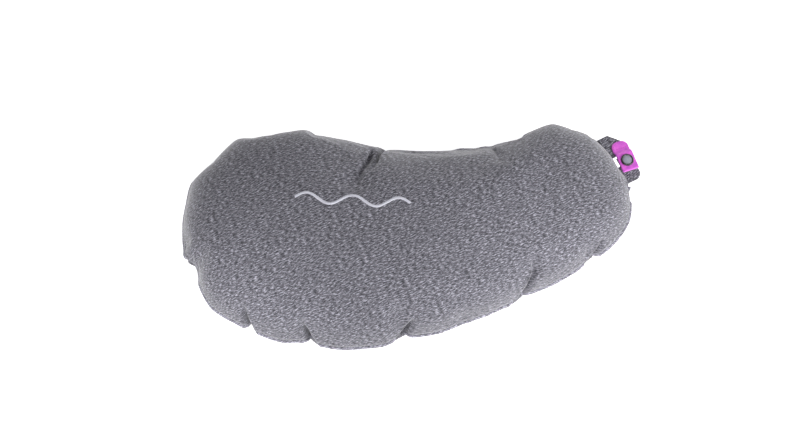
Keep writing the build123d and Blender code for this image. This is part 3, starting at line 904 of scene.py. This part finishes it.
def make_sheet(name, ring, thickness, bottom_at, place, puff=0.0, step=0.8, edge_r=0.6):
    """A flat piece of fabric or leather from its outline in loop coordinates (mm)."""
    spaced = []
    for a, b in zip(ring, np.roll(ring, -1, axis=0)):
        pieces = max(1, int(np.linalg.norm(b - a) / step))
        spaced += [a + (b - a) * k / pieces for k in range(pieces)]
    edge = np.array(spaced)
    low, high = edge.min(0), edge.max(0)
    grid = np.array([(x, y) for x in np.arange(low[0], high[0], step)
                     for y in np.arange(low[1], high[1], step)])
    grid = grid[inside_outline(grid, edge)]
    grid = grid[edge_distance(grid, edge) > step * 0.55]
    count = len(edge)
    result = delaunay_2d_cdt(
        [Vector(p) for p in np.vstack((edge, grid))],
        [(i, (i + 1) % count) for i in range(count)], [], 1, 1e-7,
    )
    plan = np.array([v[:] for v in result[0]])
    triangles = np.array(result[2])
    inwards = edge_distance(plan, edge)
    thick = np.sqrt(np.clip(1 - (1 - np.clip(inwards / edge_r, 0, 1)) ** 2, 0, 1))
    half = thickness / 2 * (0.25 + 0.75 * thick)
    swell = puff * (np.clip(inwards / 2.5, 0, 1) - 1)
    middle = np.array([bottom_at(n, t) for n, t in plan]) + thickness / 2
    upper = middle + half + swell
    lower = middle - half
    points = [place(n, t, z) for (n, t), z in zip(plan, upper)]
    points += [place(n, t, z) for (n, t), z in zip(plan, lower)]
    total = len(plan)
    faces = [tuple(f) for f in triangles] + [tuple(f[::-1] + total) for f in triangles]
    for i in range(count):
        j = (i + 1) % count
        faces.append((i, i + total, j + total, j))
    uv = np.vstack((plan, plan)) * MM
    return add_mesh(name, points, faces, uv=uv)


def thread_run(name, path, slot, body, surface, place, length=1.9, gap=0.8, radius=0.24):
    """Stitches along a path of loop coordinates, each a short thread that dips at its ends."""
    path = np.array(path, float)
    lengths = np.linalg.norm(np.diff(path, axis=0), axis=1)
    ends = np.concatenate(((0,), np.cumsum(lengths)))
    points = []
    faces = []
    start = 0.0
    while start + length <= ends[-1]:
        rows = 6
        sides = 7
        first = len(points)
        for r in range(rows + 1):
            s = start + length * r / rows
            n, t = (np.interp(s, ends, path[:, k]) for k in (0, 1))
            ahead = min(s + 0.1, ends[-1])
            behind_s = max(s - 0.1, 0)
            heading = np.array([
                np.interp(ahead, ends, path[:, k]) - np.interp(behind_s, ends, path[:, k])
                for k in (0, 1)
            ])
            heading = unit(heading)
            swell = math.sin(math.pi * (0.08 + 0.84 * r / rows))
            for k in range(sides):
                a = 2 * math.pi * k / sides
                side = radius * math.cos(a) * (0.6 + 0.4 * swell)
                up = radius * math.sin(a) + radius * 1.1 * (swell - 0.75)
                n_k = n - heading[1] * side
                t_k = t + heading[0] * side
                points.append(place(n_k, t_k, surface(n_k, t_k) + up))
        for r in range(rows):
            for k in range(sides):
                a = first + r * sides + k
                b = first + r * sides + (k + 1) % sides
                faces.append((a, b, b + sides, a + sides))
        faces.append(tuple(first + k for k in reversed(range(sides))))
        faces.append(tuple(first + rows * sides + k for k in range(sides)))
        start += length + gap
    piece = add_mesh(name, points, faces)
    dress(piece, slot, body)
    return piece


def strap_bottom(n, t):
    """The strap lies on the flange and dips a little towards its outer corner."""
    reach = max(0.0, n - 77)
    return STRAP_Z + 0.05 - 0.0022 * reach**2 * (0.4 + max(0.0, -t - 8) / 16)


def strap_top(n, t):
    """Where the strap's stitches lie, a little sunk into its upper face."""
    return strap_bottom(n, t) + STRAP_T - 0.1


def make_straps():
    upper = rounded(
        [(68.5, 31.5), (84, 31.5), (94, 20), (94, 7), (73.6, 7)],
        [0, 1.5, 1.5, 0.8, 0],
    )
    lower = rounded(
        [(73.4, -4), (78.8, -4), (78.8, 5), (94, 5), (94, -24), (71.0, -24)],
        [0, 1.5, 0.8, 0.8, 8, 0],
    )
    for name, ring, nodes in (
        ("strap_upper", upper, ("strap_upper_tail", "strap_sewn_ends")),
        ("strap_lower", lower, ("strap_lower_tail",)),
    ):
        ring = ring[::-1]
        piece = make_sheet(name, ring, STRAP_T, strap_bottom, loop_point, puff=0.25)
        dress(piece, "strap_jersey", None, *nodes)
        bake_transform(piece)
    thread_run("strap_upper_stitches", [(78, 30.2), (83.2, 30.2), (92.6, 19.5), (92.6, 8)],
               "dark_thread", "hanging_loop", strap_top, loop_point)
    thread_run("strap_lower_stitches",
               [(92.6, 4), (92.6, -16.5), (91.0, -20.3), (87.0, -22.4), (80.5, -22.6)],
               "dark_thread", "hanging_loop", strap_top, loop_point)


RAMP_START_T, RAMP_END_T = 10.4, 5.0
TAB_SEWN_Z, TAB_RAISED_Z = FACE_Z + 0.05, 50.9


def tab_bottom(n, t):
    """The tab lies on the strap at its sewn end and ramps up over the snap."""
    climbed = ease((RAMP_START_T - t) / (RAMP_START_T - RAMP_END_T))
    return TAB_SEWN_Z + (TAB_RAISED_Z - TAB_SEWN_Z) * climbed


def tab_top(n, t):
    """Where the tab's stitches lie, a little sunk into its upper face."""
    return tab_bottom(n, t) + TAB_T - 0.05


def make_tab():
    ring = rounded(
        [(77.5, -14.1), (95.0, -14.1), (95.0, 20.4), (77.5, 20.4)],
        [0.5, 0.5, 6.5, 6.5],
    )
    piece = make_sheet("tab_leaf", ring, TAB_T, tab_bottom, tab_point, step=0.7, edge_r=0.5)
    dress(piece, "magenta_synthetic_leather", None, "tab_sewn_end", "snap_tab")
    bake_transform(piece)
    path = [(79.0, 12.4), (79.0, 14.8), (81.0, 17.6), (84, 19.1), (88.5, 19.1), (91.5, 17.6),
            (93.5, 14.8), (93.5, 12.4), (79.4, 12.4)]
    stitches = thread_run("tab_stitches", path, "magenta_thread", "hanging_loop", tab_top,
                          tab_point, length=1.7, gap=0.7, radius=0.22)
    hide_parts("tab_stitching")


def make_cap():
    """The snap's cap: a raised rim round a shallow dome, turned from its profile (mm)."""
    profile = [
        (0.0, 1.75), (1.2, 1.72), (2.6, 1.60), (3.7, 1.42), (4.25, 1.28), (4.5, 1.22),
        (4.7, 1.34), (5.0, 1.60), (5.4, 1.76), (5.8, 1.72), (6.2, 1.45), (6.42, 1.0),
        (6.5, 0.5), (6.3, 0.05), (5.5, 0.0), (1.6, 0.0), (1.6, -2.0), (0.0, -2.0),
    ]
    sides = 72
    points = []
    uv = []
    for radius, height in profile:
        for k in range(sides):
            a = 2 * math.pi * k / sides
            uv.append((radius / CAP_R * math.cos(a), radius / CAP_R * math.sin(a)))
            n = SNAP_N + radius * math.cos(a)
            t = SNAP_T + radius * math.sin(a)
            points.append(loop_point(n, t, CAP_Z + height))
    faces = []
    for i in range(len(profile) - 1):
        for k in range(sides):
            a, b = i * sides + k, i * sides + (k + 1) % sides
            faces.append((a, a + sides, b + sides, b))
    piece = add_mesh("snap_cap_enamel", points, faces, uv=uv)
    dress(piece, "gunmetal_enamel", "tab", "snap_cap")


# ================================================================ stage, light and camera
FLOOR_GLOW = 0.75
TENT_WALL, TENT_ROOF = 2.8, 0.08
TENT_RIGHT, TENT_FRONT = 0.15, 0.05


def math_node(tree, operation, *values):
    node = add_node(tree, "ShaderNodeMath", operation=operation)
    for socket, value in zip(node.inputs, values):
        if isinstance(value, bpy.types.NodeSocket):
            tree.links.new(value, socket)
        else:
            socket.default_value = value
    return node.outputs[0]


def make_floor():
    size = 4.0
    points = [(-size, -size, 0), (size, -size, 0), (size, size, 0), (-size, size, 0)]
    floor = add_mesh("floor", points, [(0, 1, 2, 3)], smooth=False)
    floor.location.z = -0.0002
    material, tree, shader = new_material(
        "floor", (0.9, 0.9, 0.9), 0.9, Emission_Color=(1, 1, 1, 1), Emission_Strength=FLOOR_GLOW
    )
    soft = ramp(tree, noise(tree, mapped(tree, (1, 1, 1)), 3, 2),
                [(0.3, (0.89,) * 3), (0.7, (0.91,) * 3)])
    tree.links.new(soft, shader.inputs["Base Color"])
    floor.data.materials.append(material)


def make_studio():
    """A pale tent that is brightest low down, and towards the front and right."""
    world = bpy.data.worlds.new("studio")
    world.use_nodes = True
    tree = world.node_tree
    direction = add_node(tree, "ShaderNodeTexCoord").outputs["Generated"]
    parts = add_node(tree, "ShaderNodeSeparateXYZ")
    tree.links.new(direction, parts.inputs[0])
    x, y, z = parts.outputs
    low = math_node(tree, "POWER", math_node(tree, "SUBTRACT", 1.0, z), 2.0)
    side = math_node(tree, "ADD", math_node(tree, "MULTIPLY", x, TENT_RIGHT),
                     math_node(tree, "MULTIPLY", y, -TENT_FRONT))
    side = math_node(tree, "ADD", side, 1.0)
    wall = math_node(tree, "MULTIPLY", math_node(tree, "MULTIPLY", low, side), TENT_WALL)
    total = math_node(tree, "ADD", wall, TENT_ROOF)
    tree.nodes["Background"].inputs["Color"].default_value = (1, 1, 1, 1)
    tree.links.new(total, tree.nodes["Background"].inputs["Strength"])
    bpy.context.scene.world = world
    bpy.context.scene.view_settings.view_transform = "Standard"


def add_light(name, place, aim, size, watts):
    light = bpy.data.lights.new(name, "AREA")
    light.energy = watts
    light.size = size
    lamp = bpy.data.objects.new(name, light)
    lamp.location = place
    lamp.rotation_euler = (Vector(place) - Vector(aim)).to_track_quat("Z", "Y").to_euler()
    bpy.context.scene.collection.objects.link(lamp)


def make_camera():
    azimuth, elevation = math.radians(-7.4), math.radians(70)
    back = Vector((
        math.sin(azimuth) * math.cos(elevation),
        -math.cos(azimuth) * math.cos(elevation),
        math.sin(elevation),
    ))
    turn = back.to_track_quat("Z", "Y")
    right, up = turn @ Vector((1, 0, 0)), turn @ Vector((0, 1, 0))
    aim = Vector((17.5, 10.5, 47)) * MM - right * 27.9 * MM - up * 8.4 * MM
    camera = bpy.data.cameras.new("camera")
    camera.lens = 59.6
    holder = bpy.data.objects.new("camera", camera)
    holder.location = aim + back * 1.3
    holder.rotation_euler = turn.to_euler()
    bpy.context.scene.collection.objects.link(holder)
    bpy.context.scene.camera = holder


shape, flat, side, faces, seam, film = make_cushion()
make_jersey(shape, flat, faces)
make_film(film)
make_flange(shape, flat, seam)
make_wave(shape, faces)
make_straps()
make_tab()
make_cap()
for node_name, node in frame["nodes"].items():
    node.data.materials.clear()
    node.data.materials.append(MATERIALS[SLOT_OF[node_name]])
make_floor()
make_studio()
add_light("key", (0.60, -0.28, 0.42), (0.1, 0, 0.05), 0.4, 2.9)
add_light("front_right", (0.17, -0.12, 0.25), (0.17, -0.10, 0.05), 0.12, 0.22)
add_light("front_middle", (0.02, -0.16, 0.25), (0.02, -0.12, 0.05), 0.12, 0.13)
add_light("front_left", (-0.22, -0.14, 0.22), (-0.21, -0.11, 0.05), 0.12, 0.36)
make_camera()
